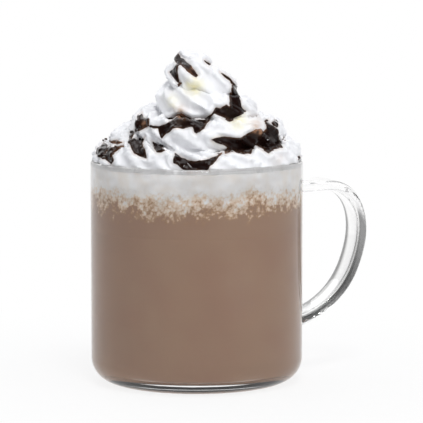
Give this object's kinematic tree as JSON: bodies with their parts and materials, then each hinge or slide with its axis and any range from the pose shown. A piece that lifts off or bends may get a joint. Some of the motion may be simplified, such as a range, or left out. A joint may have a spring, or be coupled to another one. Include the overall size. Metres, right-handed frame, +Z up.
{
  "type": "white chocolate mocha in a glass mug",
  "caption": "Hot milky coffee drink in a clear glass mug with an ear handle, topped with milk froth, a piped whipped cream swirl and dark chocolate sauce.",
  "frame": {"origin": "centre of the mug's foot, on the plane it stands on", "axes": "+Z up along the mug's axis, +X towards the handle"},
  "size_m": [0.1172, 0.085, 0.1328],
  "materials": {
    "clear_glass": "clear polished glass",
    "mocha": "opaque milky liquid",
    "froth": "fine bubbles",
    "cream": "soft satin",
    "chocolate_sauce": "wet gloss"
  },
  "bodies": {
    "root": {"glass_mug": "clear_glass", "mocha_drink": "mocha", "milk_froth": "froth", "whipped_cream": "cream"}
  },
  "joints": []
}
